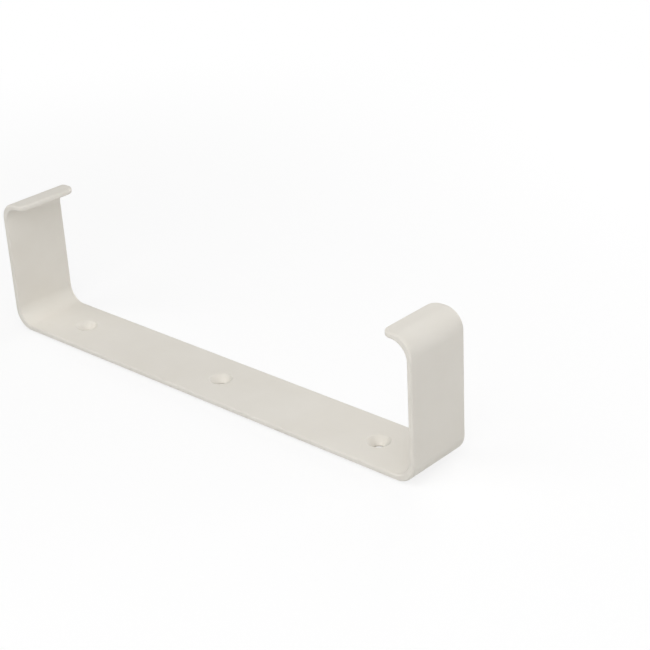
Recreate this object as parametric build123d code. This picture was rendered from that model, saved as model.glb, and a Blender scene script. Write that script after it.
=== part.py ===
from build123d import *
import os

# Wall bracket for a flat rectangular channel: one moulded plastic strip in the form of a C.
# X runs along the back, Y across the strip and Z up the arms. All sizes are in millimetres.
# The origin is on the wall plane, under the middle of the back.

# The channel that the bracket holds, and the play left round it
channel_width = 220.0
channel_height = 54.0
side_play = 0.3
top_play = 0.2

# The strip. Its long edges are rounded on the inside and on the outside of the wall.
wall = 2.4
strip_width = 30.0
edge_radius = 0.8

# The bends, each with its own radius on the outside and on the inside of the wall
back_bend_outer = 8.5
back_bend_inner = 7.5
lip_bend_outer = 8.0
lip_bend_inner = 7.0

# The lips that turn in over the channel, and their rounded free corners
lip_reach = 13.7
lip_corner = 4.0

# The countersunk screw holes along the middle of the back
hole_count = 3
hole_spacing = 83.5
screw_hole = 4.2
screw_head = 9.6
head_angle = 90.0

# The low domed bosses round the screw holes, which stand the back off the wall
boss_height = 1.2
boss_foot = 16.6
boss_face = 8.4

# Where the wall's faces lie, worked out from the sizes above
back_bottom = boss_height
back_top = back_bottom + wall
half_inside = channel_width / 2 + side_play
half_outside = half_inside + wall
lip_under = back_top + channel_height + top_play
lip_top = lip_under + wall
lip_tip = half_outside - lip_reach
hole_places = [(n - (hole_count - 1) / 2) * hole_spacing for n in range(hole_count)]


def strip_section():
    """The C seen from the side: its two outlines, joined at the lips' tips, with the bends rounded."""
    outside = Polyline(
        (-lip_tip, lip_top),
        (-half_outside, lip_top),
        (-half_outside, back_bottom),
        (half_outside, back_bottom),
        (half_outside, lip_top),
        (lip_tip, lip_top),
    )
    inside = Polyline(
        (lip_tip, lip_under),
        (half_inside, lip_under),
        (half_inside, back_top),
        (-half_inside, back_top),
        (-half_inside, lip_under),
        (-lip_tip, lip_under),
    )
    right_tip = Line(outside @ 1, inside @ 0)
    left_tip = Line(inside @ 1, outside @ 0)
    section = make_face(outside.edges() + inside.edges() + right_tip.edges() + left_tip.edges())
    bends = (
        (half_outside, back_bottom, back_bend_outer),
        (half_inside, back_top, back_bend_inner),
        (half_outside, lip_top, lip_bend_outer),
        (half_inside, lip_under, lip_bend_inner),
    )
    for across, up, radius in bends:
        pair = [corner for corner in section.vertices() if is_at(abs(corner.X), across) and is_at(corner.Y, up)]
        section = fillet(pair, radius)
    return section


def is_at(value, place):
    """Whether a measured value is the same as a place, but for rounding."""
    return abs(value - place) < wall / 1000


def bent_strip():
    """The C at its full width, with the lips' free corners and all the long edges rounded."""
    strip = extrude(Plane.XZ * strip_section(), strip_width / 2, both=True)
    free_corners = [edge for edge in strip.edges().filter_by(Axis.Z) if is_at(abs(edge.center().X), lip_tip)]
    strip = fillet(free_corners, lip_corner)
    # The rim is every sharp edge. The seams, where a flat runs on into a bend or a rounded corner, stay as they are.
    seams_at_corners = [edge for edge in strip.edges().filter_by(Axis.Z) if is_at(edge.length, wall)]
    seams_at_bends = [edge for edge in strip.edges().filter_by(Axis.Y) if not is_at(abs(edge.center().X), lip_tip)]
    rim = [edge for edge in strip.edges() if edge not in seams_at_corners + seams_at_bends]
    return fillet(rim, min(edge_radius, wall * 0.45))


def wall_boss():
    """A low dome, flat where it meets the wall, whose flank runs into the back in an S of two arcs."""
    face_edge = (boss_face / 2, 0)
    foot_edge = (boss_foot / 2, back_bottom)
    half_way = ((face_edge[0] + foot_edge[0]) / 2, back_bottom / 2)
    core_height = back_bottom + wall / 2
    flank = TangentArc(face_edge, half_way, tangent=(1, 0)) + TangentArc(foot_edge, half_way, tangent=(-1, 0))
    rest = Polyline(foot_edge, (boss_foot / 2, core_height), (0, core_height), (0, 0), face_edge)
    return revolve(Plane.XZ * make_face(flank.edges() + rest.edges()), Axis.Z)


def screw_seat():
    """The hole through the back and its boss, with the cone for a countersunk head on the inside."""
    return CounterSinkHole(screw_hole / 2, screw_head / 2, back_top + wall, head_angle)


bracket = bent_strip()
for place in hole_places:
    bracket += Pos(place, 0, 0) * wall_boss()
for place in hole_places:
    bracket -= Pos(place, 0, back_top) * screw_seat()

os.makedirs("parts", exist_ok=True)
export_step(bracket, "parts/bracket.step")
size = bracket.bounding_box().size
print(f"bracket: {size.X:.1f} x {size.Y:.1f} x {size.Z:.1f} mm, {bracket.volume / 1000:.1f} cm3")
print(f"inside: {2 * half_inside:.1f} x {lip_under - back_top:.1f} mm, mouth between the lips {2 * lip_tip:.1f} mm")
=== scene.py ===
# %% [markdown]
# # A wall bracket for a flat channel, in moulded plastic
# The real bracket is a single moulding: a long narrow strip whose two ends turn up into short arms, and
# whose arms turn in again at the top as small lips. Three countersunk holes run along its back, and behind
# each one a low round boss stands the back a little off the wall.
# The measured model of the part is loaded first. It is the frame that everything here has to fit.

import math

import bmesh
import bpy
from mathutils import Matrix, Vector


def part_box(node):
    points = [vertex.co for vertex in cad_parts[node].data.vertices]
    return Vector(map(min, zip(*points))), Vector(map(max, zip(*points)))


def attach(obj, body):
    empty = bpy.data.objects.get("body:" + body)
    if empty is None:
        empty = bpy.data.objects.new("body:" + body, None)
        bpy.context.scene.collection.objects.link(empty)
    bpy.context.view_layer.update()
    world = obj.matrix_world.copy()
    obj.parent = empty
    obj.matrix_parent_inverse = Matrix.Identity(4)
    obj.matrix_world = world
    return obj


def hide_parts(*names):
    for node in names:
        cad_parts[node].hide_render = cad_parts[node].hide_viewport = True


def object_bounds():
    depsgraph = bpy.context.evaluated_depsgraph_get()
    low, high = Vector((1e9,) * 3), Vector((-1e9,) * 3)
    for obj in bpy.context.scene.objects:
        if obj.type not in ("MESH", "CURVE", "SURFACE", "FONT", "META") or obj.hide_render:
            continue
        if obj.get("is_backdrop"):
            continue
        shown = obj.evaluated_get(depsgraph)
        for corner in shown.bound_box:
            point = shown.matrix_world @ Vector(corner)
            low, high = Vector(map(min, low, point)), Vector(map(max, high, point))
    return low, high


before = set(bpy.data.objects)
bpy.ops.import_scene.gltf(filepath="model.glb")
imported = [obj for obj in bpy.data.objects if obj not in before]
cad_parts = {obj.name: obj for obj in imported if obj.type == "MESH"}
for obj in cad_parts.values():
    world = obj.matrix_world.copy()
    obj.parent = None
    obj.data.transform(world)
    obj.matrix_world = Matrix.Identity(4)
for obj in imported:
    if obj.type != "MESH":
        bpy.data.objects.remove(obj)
cad_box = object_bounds()

# %% [markdown]
# ## Sizes
# The overall sizes are read from the measured part, so the mesh can't drift from it. The others are the
# sizes that shape a moulding: the wall, the radius of every bend inside and outside, and the rounding of
# the edges. Blender works in metres, so each size is written in millimetres and multiplied once.

# %% Sizes of the strip
MM = 0.001
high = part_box("bracket")[1]
half_outside = high.x
half_width = high.y
lip_top = high.z

wall = 2.4 * MM
lip_reach = 13.7 * MM
back_bottom = 1.2 * MM
back_top = back_bottom + wall
half_inside = half_outside - wall
lip_under = lip_top - wall
lip_tip = half_outside - lip_reach
print(f"inside {2 * half_inside / MM:.1f} mm wide and {(lip_under - back_top) / MM:.1f} mm deep")

# %% Sizes of the bends and edges
back_bend_outer = 8.5 * MM
back_bend_inner = 7.5 * MM
lip_bend_outer = 8.0 * MM
lip_bend_inner = 7.0 * MM
lip_corner = 4.0 * MM
edge_radius = 0.8 * MM
print(f"back bends of {back_bend_outer / MM:.1f} mm outside and {back_bend_inner / MM:.1f} mm inside")

# %% Sizes of the screw seats
hole_spacing = 83.5 * MM
hole_places = [-hole_spacing, 0, hole_spacing]
screw_hole = 4.2 * MM
screw_head = 9.6 * MM
boss_foot = 16.6 * MM
boss_face = 8.4 * MM
print(f"{len(hole_places)} holes, {screw_hole / MM:.1f} mm clear, {hole_spacing / MM:.1f} mm apart")

# %% [markdown]
# ## The sharp C
# A moulding like this is easiest to shape in the order that a maker draws it: first the plain C with square
# corners, then the bends, then the edges. A swept curve would give the C in one go, but here the inside and
# the outside of each bend have radii of their own, which a sweep can't do.
# The C starts as a slab as long as the back. Two cuts across it mark off the arms, their tops are extruded
# up, and after a cut round each arm the lips are extruded inwards.

# %% Helpers for edit mode
tolerance = 0.01 * MM


def only(*pieces):
    """Selects these pieces and nothing else, and makes the first one active."""
    bpy.ops.object.select_all(action="DESELECT")
    for piece in pieces:
        piece.select_set(True)
    bpy.context.view_layer.objects.active = pieces[0]


def edit(piece):
    """Opens one piece in edit mode, alone."""
    only(piece)
    bpy.ops.object.mode_set(mode="EDIT")


def leave_edit():
    """Closes edit mode, which writes the changes into the mesh."""
    bpy.ops.object.mode_set(mode="OBJECT")


def near(value, place):
    """Whether a measured value is at a place, but for the tolerance."""
    return abs(value - place) < tolerance


def pick(kind, test):
    """Selects the edges or faces whose place passes a test, and returns how many there are."""
    bpy.ops.mesh.select_mode(type=kind)
    bpy.ops.mesh.select_all(action="DESELECT")
    mesh = bmesh.from_edit_mesh(bpy.context.object.data)
    everything = {"EDGE": mesh.edges, "FACE": mesh.faces}[kind]
    found = [item for item in everything if test(item)]
    for item in found:
        item.select_set(True)
    bmesh.update_edit_mesh(bpy.context.object.data)
    return len(found)


def cut_across(point, direction):
    """Cuts the whole piece along a plane and leaves both sides joined."""
    bpy.ops.mesh.select_all(action="SELECT")
    bpy.ops.mesh.bisect(plane_co=point, plane_no=direction)


# %% A slab as long as the back
bpy.ops.object.select_all(action="DESELECT")
bpy.ops.mesh.primitive_cube_add(size=1)
strip = bpy.context.object
strip.name = "moulded_strip"
strip.scale = (2 * half_outside, 2 * half_width, wall)
strip.location = (0, 0, back_bottom + wall / 2)
bpy.ops.object.transform_apply(location=True, rotation=True, scale=True)
print(f"slab {2 * half_outside / MM:.1f} mm long and {2 * half_width / MM:.1f} mm wide")

# %% The arms and the lips
# The part of a normal that points a given way is above this on a face that looks that way.
facing = 0.9
flat_angle = math.radians(1)


def is_arm_foot(face):
    """Whether a face is an end of the slab's top, which an arm grows from."""
    return face.normal.z > facing and abs(face.calc_center_median().x) > half_inside


def is_lip_root(face, side):
    """Whether a face is the top end of one arm's inner side, which a lip grows from."""
    middle = face.calc_center_median()
    return face.normal.x * side < -facing and middle.x * side > 0 and middle.z > lip_under


edit(strip)
for side in (-1, 1):
    cut_across((side * half_inside, 0, 0), (1, 0, 0))
pick("FACE", is_arm_foot)
bpy.ops.mesh.extrude_region_move(TRANSFORM_OT_translate={"value": (0, 0, lip_top - back_top)})

cut_across((0, 0, lip_under), (0, 0, 1))
for side in (-1, 1):
    pick("FACE", lambda face: is_lip_root(face, side))
    inwards = (side * (lip_tip - half_inside), 0, 0)
    bpy.ops.mesh.extrude_region_move(TRANSFORM_OT_translate={"value": inwards})

# The cuts have done their work. Dissolving them leaves each flat as one face, free to be bent at any
# radius.
bpy.ops.mesh.select_all(action="SELECT")
bpy.ops.mesh.dissolve_limited(angle_limit=flat_angle)
leave_edit()
print("sharp C:", len(strip.data.vertices), "vertices,", len(strip.data.polygons), "faces")

# %% [markdown]
# ## The bends
# Each bend is two edges of the sharp C, one outside and one inside, and each is bevelled by its own radius.
# On a square corner a bevel with a profile of 0.5 is a true arc. The inner radius is nearly as large as the
# outer one, so the wall gets a little thicker in the bend, as it does on a moulding.

# %% Round the four bends
bend_steps = 24
bends = [
    (half_outside, back_bottom, back_bend_outer),
    (half_inside, back_top, back_bend_inner),
    (half_outside, lip_top, lip_bend_outer),
    (half_inside, lip_under, lip_bend_inner),
]


def is_bend(edge, across, up):
    """Whether an edge runs across the strip at one corner of the sharp C."""
    start, end = edge.verts
    runs_across = near(start.co.x, end.co.x) and not near(start.co.y, end.co.y)
    return runs_across and near(abs(start.co.x), across) and near(start.co.z, up)


def round_off(radius, steps):
    """Bevels the selected edges round."""
    bpy.ops.mesh.bevel(offset=radius, segments=steps, profile=0.5, affect="EDGES")


edit(strip)
for across, up, radius in bends:
    found = pick("EDGE", lambda edge: is_bend(edge, across, up))
    round_off(radius, bend_steps)
    print(f"{found} edges rounded by {radius / MM:.1f} mm")

# %% [markdown]
# ## The lips' corners and the long edges
# Seen from above, the free corners of the lips are rounded. Then every edge that is still sharp is the rim
# of the strip: it runs along both sides, round the lips' corners and over their tips. A moulding has no
# sharp rim, and this rounding is what catches the light along the whole bracket, so it gets real geometry.

# %% Round the lips' corners, then the rim
corner_steps = 12
rim_steps = 6
sharp_angle = math.radians(60)


def is_lip_corner(edge):
    """Whether an edge stands upright at the tip of a lip."""
    upright = abs(edge.verts[0].co.z - edge.verts[1].co.z) > wall / 2
    return upright and all(near(abs(end.co.x), lip_tip) for end in edge.verts)


found = pick("EDGE", is_lip_corner)
round_off(lip_corner, corner_steps)
print(found, "lip corners rounded")

bpy.ops.mesh.select_mode(type="EDGE")
bpy.ops.mesh.select_all(action="DESELECT")
bpy.ops.mesh.edges_select_sharp(sharpness=sharp_angle)
round_off(edge_radius, rim_steps)
leave_edit()
print("rounded C:", len(strip.data.vertices), "vertices,", len(strip.data.polygons), "faces")

# %% [markdown]
# ## The screw seats
# A seat is turned work: everything on it is round about one axis. It starts as a circle at the foot of the
# boss, and the circle is extruded and resized ring by ring. On the wall side it goes down the boss's flank,
# which is an S of two arcs, and in over the flat ring that touches the wall. Then it goes up through the
# hole and out along the cone where the screw's head sits. The two sharp rings get a small bevel, as a mould
# leaves them.
# It is modelled once and copied to each hole.

# %% The profile of a seat
flank_steps = 8
boss_run = (boss_foot - boss_face) / 2
flank_radius = (boss_run ** 2 + back_bottom ** 2) / (4 * back_bottom)
flank_turn = math.asin(boss_run / 2 / flank_radius)
cone_depth = (screw_head - screw_hole) / 2
lap = 0.6 * MM

# Each pair is a ring's radius and its height. The rings start from a circle a lap wider than the boss.
profile = [(boss_foot / 2, back_bottom)]
for step in range(1, flank_steps + 1):
    turn = flank_turn * step / flank_steps
    profile.append((boss_foot / 2 - flank_radius * math.sin(turn),
                    back_bottom - flank_radius * (1 - math.cos(turn))))
for step in range(flank_steps - 1, -1, -1):
    turn = flank_turn * step / flank_steps
    profile.append((boss_face / 2 + flank_radius * math.sin(turn), flank_radius * (1 - math.cos(turn))))
profile.append((screw_hole / 2, 0))
profile.append((screw_hole / 2, back_top - cone_depth))
profile.append((screw_head / 2, back_top))
profile.append((screw_head / 2 + lap, back_top))
print(f"flank arcs of {flank_radius / MM:.2f} mm radius, {len(profile)} rings")

# %% Turn one seat
ring_steps = 64
broken_edge = 0.2 * MM
broken_steps = 3
ring_radius = boss_foot / 2 + lap
ring_height = back_bottom

bpy.ops.object.select_all(action="DESELECT")
bpy.ops.mesh.primitive_circle_add(vertices=ring_steps, radius=ring_radius, location=(0, 0, 0))
seat = bpy.context.object
edit(seat)
bpy.ops.mesh.select_all(action="SELECT")
bpy.ops.transform.translate(value=(0, 0, ring_height))
for radius, height in profile:
    bpy.ops.mesh.extrude_region_move(TRANSFORM_OT_translate={"value": (0, 0, height - ring_height)})
    factor = radius / ring_radius
    bpy.ops.transform.resize(value=(factor, factor, 1), center_override=(0, 0, height))
    ring_radius = radius
    ring_height = height


def is_ring(edge, radius, height):
    """Whether an edge is part of the seat's ring of one radius at one height."""
    return all(near(end.co.xy.length, radius) and near(end.co.z, height) for end in edge.verts)


for radius, height in ((screw_hole / 2, 0), (screw_head / 2, back_top)):
    found = pick("EDGE", lambda edge: is_ring(edge, radius, height))
    round_off(broken_edge, broken_steps)
    print(found, "edges of a ring broken")
leave_edit()

# %% [markdown]
# ## One closed piece
# The back needs an opening for each seat, on both of its faces. Cuts across the strip give each hole a
# patch of its own, nearly square. The patch's face is deleted, and what lies between the patch's outline and
# the seat's round rim is filled again. Keeping the fill inside its own patch keeps the rest of the back in
# clean long faces.

# %% Put a seat in each hole
patch = 12.5 * MM
edit(strip)
for place in hole_places:
    for side in (-1, 1):
        cut_across((place + side * patch, 0, 0), (1, 0, 0))
leave_edit()

parts = [strip]
for place in hole_places:
    only(seat)
    bpy.ops.object.duplicate(linked=False)
    copy = bpy.context.object
    copy.location.x = place
    parts.append(copy)
bpy.data.objects.remove(seat)

only(*parts)
bpy.ops.object.join()
print("joined:", len(strip.data.vertices), "vertices")

# %% Fill round the seats
def patch_of(item, height):
    """The hole whose patch an edge or face lies in, at one height, or None."""
    corners = [corner.co for corner in item.verts]
    if not all(near(co.z, height) for co in corners):
        return None
    inside = [place for place in hole_places if all(abs(co.x - place) < patch + tolerance for co in corners)]
    return inside[0] if inside else None


edit(strip)
least_area = patch * half_width
weld_distance = 0.001 * MM
for height in (back_bottom, back_top):
    found = pick("FACE", lambda face: patch_of(face, height) is not None and face.calc_area() > least_area)
    bpy.ops.mesh.delete(type="ONLY_FACE")
    print(found, "patches opened")
    for place in hole_places:
        pick("EDGE", lambda edge: edge.is_boundary and patch_of(edge, height) == place)
        bpy.ops.mesh.fill(use_beauty=True)

bpy.ops.mesh.select_all(action="SELECT")
bpy.ops.mesh.remove_doubles(threshold=weld_distance)
bpy.ops.mesh.normals_make_consistent(inside=False)
leave_edit()

# %% [markdown]
# ## Smooth shading
# The flats have to stay flat and the bends round. Smooth shading alone would smear the rounding of the rim
# over the flats beside it, because a vertex there averages both. Weighted normals let the larger face win,
# so the curve starts exactly at the seam, as on the real moulding.

# %% Shade the strip and measure it
# This is the strongest weight that a large face can have.
flats_weight = 100

only(strip)
bpy.ops.object.shade_smooth()
weigh = strip.modifiers.new("flats_win", "WEIGHTED_NORMAL")
weigh.mode = "FACE_AREA"
weigh.weight = flats_weight
weigh.keep_sharp = True
bpy.ops.object.modifier_apply(modifier=weigh.name)

measured = bmesh.new()
measured.from_mesh(strip.data)
open_edges = [edge for edge in measured.edges if not edge.is_manifold]
volume = measured.calc_volume() / MM ** 3
print(f"{len(measured.faces)} faces, {len(open_edges)} open edges, {volume / 1000:.2f} cm3")
measured.free()

# %% [markdown]
# ## The plastic
# The bracket is white plastic with a touch of warmth, from a mould with a fine satin finish. Close up, such
# a surface isn't even: the melt leaves faint long streaks where it flowed, the colour shifts by a percent
# or so, and a very fine skin takes the edge off every reflection. Each is a noise texture at its own size.
# They read Object coordinates, so they stay fixed to the part at its real scale.

# %% The plastic's colour
def node(tree, kind, **settings):
    """Adds a node, and sets its inputs and its own settings by name."""
    made = tree.nodes.new(kind)
    for name, value in settings.items():
        if hasattr(made, name):
            setattr(made, name, value)
        else:
            made.inputs[name.replace("_", " ").title()].default_value = value
    return made


# A noise seldom goes below the first of these values or above the second.
noise_low = 0.3
noise_high = 0.7

cloud_scale = 38.0
darker_white = (0.700, 0.668, 0.606, 1)
lighter_white = (0.728, 0.698, 0.640, 1)

plastic = bpy.data.materials.new("satin_white_plastic")
plastic.use_nodes = True
tree = plastic.node_tree
skin = tree.nodes["Principled BSDF"]
place_on_part = node(tree, "ShaderNodeTexCoord")

cloudy = node(tree, "ShaderNodeTexNoise", scale=cloud_scale, detail=3.0, roughness=0.55)
tint = node(tree, "ShaderNodeValToRGB")
tint.color_ramp.elements[0].position = noise_low
tint.color_ramp.elements[0].color = darker_white
tint.color_ramp.elements[1].position = noise_high
tint.color_ramp.elements[1].color = lighter_white
tree.links.new(place_on_part.outputs["Object"], cloudy.inputs["Vector"])
tree.links.new(cloudy.outputs["Fac"], tint.inputs["Fac"])
tree.links.new(tint.outputs["Color"], skin.inputs["Base Color"])
print(f"clouds of colour about {1 / cloud_scale / MM:.0f} mm wide")

# %% The plastic's gloss and skin
streak_scale = 260.0
streak_stretch = 0.12
least_roughness = 0.56
most_roughness = 0.66
grain_scale = 2600.0
grain_depth = 0.02 * MM
grain_strength = 0.12

along_strip = node(tree, "ShaderNodeMapping")
along_strip.inputs["Scale"].default_value = (streak_stretch, 1, streak_stretch)
streaks = node(tree, "ShaderNodeTexNoise", scale=streak_scale, detail=2.0, roughness=0.5)
gloss = node(tree, "ShaderNodeMapRange")
gloss.inputs["From Min"].default_value = noise_low
gloss.inputs["From Max"].default_value = noise_high
gloss.inputs["To Min"].default_value = least_roughness
gloss.inputs["To Max"].default_value = most_roughness
tree.links.new(place_on_part.outputs["Object"], along_strip.inputs["Vector"])
tree.links.new(along_strip.outputs["Vector"], streaks.inputs["Vector"])
tree.links.new(streaks.outputs["Fac"], gloss.inputs["Value"])
tree.links.new(gloss.outputs["Result"], skin.inputs["Roughness"])

grain = node(tree, "ShaderNodeTexNoise", scale=grain_scale, detail=2.0, roughness=0.5)
relief = node(tree, "ShaderNodeBump", strength=grain_strength)
relief.inputs["Distance"].default_value = grain_depth
tree.links.new(place_on_part.outputs["Object"], grain.inputs["Vector"])
tree.links.new(grain.outputs["Fac"], relief.inputs["Height"])
tree.links.new(relief.outputs["Normal"], skin.inputs["Normal"])
strip.data.materials.append(plastic)
print(f"streaks about {1 / streak_scale / MM:.1f} mm wide, grain about {1 / grain_scale / MM:.1f} mm wide")

# %% The strip takes its place
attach(strip, "root")
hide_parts("bracket")
print(strip.name, "replaces bracket and wears", plastic.name)

# %% [markdown]
# ## The white studio
# The floor is a plain pale sheet in a plain pale room. The camera sees both almost as pure white, as paper
# looks in a studio, and so do reflections, but the white adds no light of its own to the part. Near the
# bracket the floor stays a real surface for a share of what the camera sees, and that share keeps the
# bracket's soft shadow. Further off it fades into the white of the room, as a paper sweep does. Under the
# bosses it stays a real surface altogether: it is seen there only down a screw hole, where paper is in the
# bracket's own shade.
# White paper this close would also light the bracket strongly from below, and its outside would look
# flatter than its inside. So the paper is greyer for the rays that carry light than for the ones that are
# seen.

# %% A helper for what the camera and reflections see
def seen_directly(tree):
    """1 for a ray from the camera, a reflection or a transmission, and 0 for the rays that carry light."""
    rays = node(tree, "ShaderNodeLightPath")
    first = node(tree, "ShaderNodeMath", operation="MAXIMUM")
    either = node(tree, "ShaderNodeMath", operation="MAXIMUM")
    tree.links.new(rays.outputs["Is Camera Ray"], first.inputs[0])
    tree.links.new(rays.outputs["Is Glossy Ray"], first.inputs[1])
    tree.links.new(first.outputs[0], either.inputs[0])
    tree.links.new(rays.outputs["Is Transmission Ray"], either.inputs[1])
    return either.outputs[0]


# %% Helpers for how white the floor looks from place to place
# The camera sees this share of white out to the first distance, and nothing but white from the second on.
white_share = 0.8
shadow_floor = 150 * MM
white_floor = 500 * MM


def fading_white(tree, place_on_floor):
    """The share of white: least near the bracket, and all of it far away."""
    reach = node(tree, "ShaderNodeVectorMath", operation="LENGTH")
    fade = node(tree, "ShaderNodeMapRange", interpolation_type="SMOOTHSTEP")
    fade.inputs["From Min"].default_value = shadow_floor
    fade.inputs["From Max"].default_value = white_floor
    fade.inputs["To Min"].default_value = white_share
    fade.inputs["To Max"].default_value = 1
    tree.links.new(place_on_floor, reach.inputs[0])
    tree.links.new(reach.outputs["Value"], fade.inputs["Value"])
    return fade.outputs["Result"]


def away_from_boss(tree, place_on_floor, place):
    """A value of 1 on the open floor, and 0 where the flat ring of one boss stands on it."""
    reach = node(tree, "ShaderNodeVectorMath", operation="DISTANCE")
    reach.inputs[1].default_value = (place, 0, 0)
    outside = node(tree, "ShaderNodeMath", operation="GREATER_THAN")
    outside.inputs[1].default_value = boss_face / 2
    tree.links.new(place_on_floor, reach.inputs[0])
    tree.links.new(reach.outputs["Value"], outside.inputs[0])
    return outside.outputs[0]


def times(tree, one, other):
    """The product of two values."""
    product = node(tree, "ShaderNodeMath", operation="MULTIPLY")
    tree.links.new(one, product.inputs[0])
    tree.links.new(other, product.inputs[1])
    return product.outputs[0]


# %% A pale floor
# The floor is a hair lower than the bosses, so that no two surfaces lie in one plane. Its size is in
# metres.
floor_drop = 0.05 * MM
floor_size = 6

bpy.ops.object.select_all(action="DESELECT")
bpy.ops.mesh.primitive_plane_add(size=floor_size, location=(0, 0, 0))
floor = bpy.context.object
floor.name = "floor"
edit(floor)
bpy.ops.mesh.select_all(action="SELECT")
bpy.ops.transform.translate(value=(0, 0, -floor_drop))
leave_edit()
print(f"floor {floor_size} m wide, {floor_drop / MM:.2f} mm below the bosses")

# %% The floor's paper
paper_for_camera = 0.95
paper_for_light = 0.75
paper_roughness = 0.8

paper = bpy.data.materials.new("pale_paper")
paper.use_nodes = True
paper_tree = paper.node_tree
seen = seen_directly(paper_tree)
on_floor = node(paper_tree, "ShaderNodeTexCoord").outputs["Object"]
share = times(paper_tree, seen, fading_white(paper_tree, on_floor))
for place in hole_places:
    share = times(paper_tree, share, away_from_boss(paper_tree, on_floor, place))

surface = paper_tree.nodes["Principled BSDF"]
surface.inputs["Roughness"].default_value = paper_roughness
tone = node(paper_tree, "ShaderNodeMapRange")
tone.inputs["To Min"].default_value = paper_for_light
tone.inputs["To Max"].default_value = paper_for_camera
paper_tree.links.new(seen, tone.inputs["Value"])
paper_tree.links.new(tone.outputs["Result"], surface.inputs["Base Color"])

white = node(paper_tree, "ShaderNodeEmission", strength=1.0)
blend = node(paper_tree, "ShaderNodeMixShader")
paper_tree.links.new(share, blend.inputs["Fac"])
paper_tree.links.new(surface.outputs[0], blend.inputs[1])
paper_tree.links.new(white.outputs[0], blend.inputs[2])
paper_tree.links.new(blend.outputs[0], paper_tree.nodes["Material Output"].inputs["Surface"])
floor.data.materials.append(paper)
floor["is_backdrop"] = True
print(f"paper of {paper_for_camera} to the camera, and of {paper_for_light} to the rays that carry light")

# %% A pale room
# The background's strength is 1, plain white, for the rays that see it, and 0 for the rays that carry light.
plain_white = (1, 1, 1, 1)
room = bpy.data.worlds.new("pale_room")
bpy.context.scene.world = room
room.use_nodes = True
backdrop = room.node_tree.nodes["Background"]
backdrop.inputs["Color"].default_value = plain_white
room.node_tree.links.new(seen_directly(room.node_tree), backdrop.inputs["Strength"])
print("nodes of the room:", ", ".join(made.name for made in room.node_tree.nodes))

# %% [markdown]
# ## Light
# The light is that of a product shot in a white tent: it comes softly from all round. Large lamps stand in
# a ring about the bracket, some of them high up, so that the flat of the back, the arms and the walls of
# the screw seats each get their own share. Half of them stand close by. The light of a close lamp falls off
# along the bracket, so the two ends don't look alike. A lamp's size against its distance sets how soft its
# shadows are, so each is nearly as wide as it is far away. The camera doesn't see the lamps themselves.

# %% Soft lamps
# The two distances are in metres, and the spread is a lamp's width against its distance.
lamp_aim = Vector((0, 0, 30 * MM))
far_away = 1.3
close_by = 0.6
lamp_spread = 0.77


def soft_lamp(name, azimuth, elevation, distance, watts):
    """A square lamp that looks at the middle of the bracket. Azimuth 0 is in front, 90 on the right."""
    turn = math.radians(azimuth)
    rise = math.radians(elevation)
    towards = Vector((math.sin(turn) * math.cos(rise), -math.cos(turn) * math.cos(rise), math.sin(rise)))
    bpy.ops.object.light_add(type="AREA", location=lamp_aim + towards * distance)
    lamp = bpy.context.object
    lamp.name = name
    lamp.data.size = distance * lamp_spread
    lamp.data.energy = watts
    lamp.rotation_euler = (-towards).to_track_quat("-Z", "Y").to_euler()
    lamp.visible_camera = False
    print(f"{name}: {lamp.data.size:.2f} m wide, {distance} m away, {watts} W")


soft_lamp("front_left_lamp", azimuth=-30, elevation=38, distance=far_away, watts=5.5)
soft_lamp("front_right_lamp", azimuth=30, elevation=38, distance=close_by, watts=1.25)
soft_lamp("right_lamp", azimuth=60, elevation=38, distance=far_away, watts=2.0)
soft_lamp("high_lamp", azimuth=0, elevation=64, distance=far_away, watts=3.2)
soft_lamp("high_right_lamp", azimuth=45, elevation=64, distance=far_away, watts=2.5)
soft_lamp("back_lamp", azimuth=180, elevation=12, distance=close_by, watts=1.85)
soft_lamp("high_back_lamp", azimuth=180, elevation=64, distance=close_by, watts=0.4)
soft_lamp("back_right_lamp", azimuth=120, elevation=12, distance=close_by, watts=1.12)

# %% [markdown]
# ## Camera
# The camera stands where the photo was taken from: in front and to the right of the bracket, looking down
# on it, with a slight tilt. It looks at a point beyond the middle of the bracket, which puts the bracket in
# the lower left of the picture.

# %% The camera
view_azimuth = math.radians(43.05)
view_elevation = math.radians(25.77)
view_tilt = math.radians(-3.04)
view_distance = 645.4 * MM
view_aim = Vector((25.2, 36.4, 20.7)) * MM
nearest_seen = 10 * MM
# These two are in millimetres, as the camera's own settings are.
sensor_width = 36
focal_length = 87.9

backwards = Vector((
    math.sin(view_azimuth) * math.cos(view_elevation),
    -math.cos(view_azimuth) * math.cos(view_elevation),
    math.sin(view_elevation),
))
level_right = Vector((math.cos(view_azimuth), math.sin(view_azimuth), 0))
level_up = backwards.cross(level_right)
right = level_right * math.cos(view_tilt) + level_up * math.sin(view_tilt)
up = level_up * math.cos(view_tilt) - level_right * math.sin(view_tilt)
bpy.ops.object.camera_add()
camera = bpy.context.object
camera.matrix_world = Matrix.Translation(view_aim + backwards * view_distance) @ Matrix((
    (right.x, up.x, backwards.x, 0),
    (right.y, up.y, backwards.y, 0),
    (right.z, up.z, backwards.z, 0),
    (0, 0, 0, 1),
))
camera.data.sensor_width = sensor_width
camera.data.lens = focal_length
camera.data.clip_start = nearest_seen
bpy.context.scene.camera = camera
bpy.context.scene.view_settings.view_transform = "Standard"
print("camera at", [round(value / MM, 1) for value in camera.matrix_world.translation], "mm")

# %% Compare the sizes and finish
visual_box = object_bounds()
differences = [
    abs(one - other) / MM
    for cad_corner, visual_corner in zip(cad_box, visual_box)
    for one, other in zip(cad_corner, visual_corner)
]
print("largest difference in mm:", max(differences))
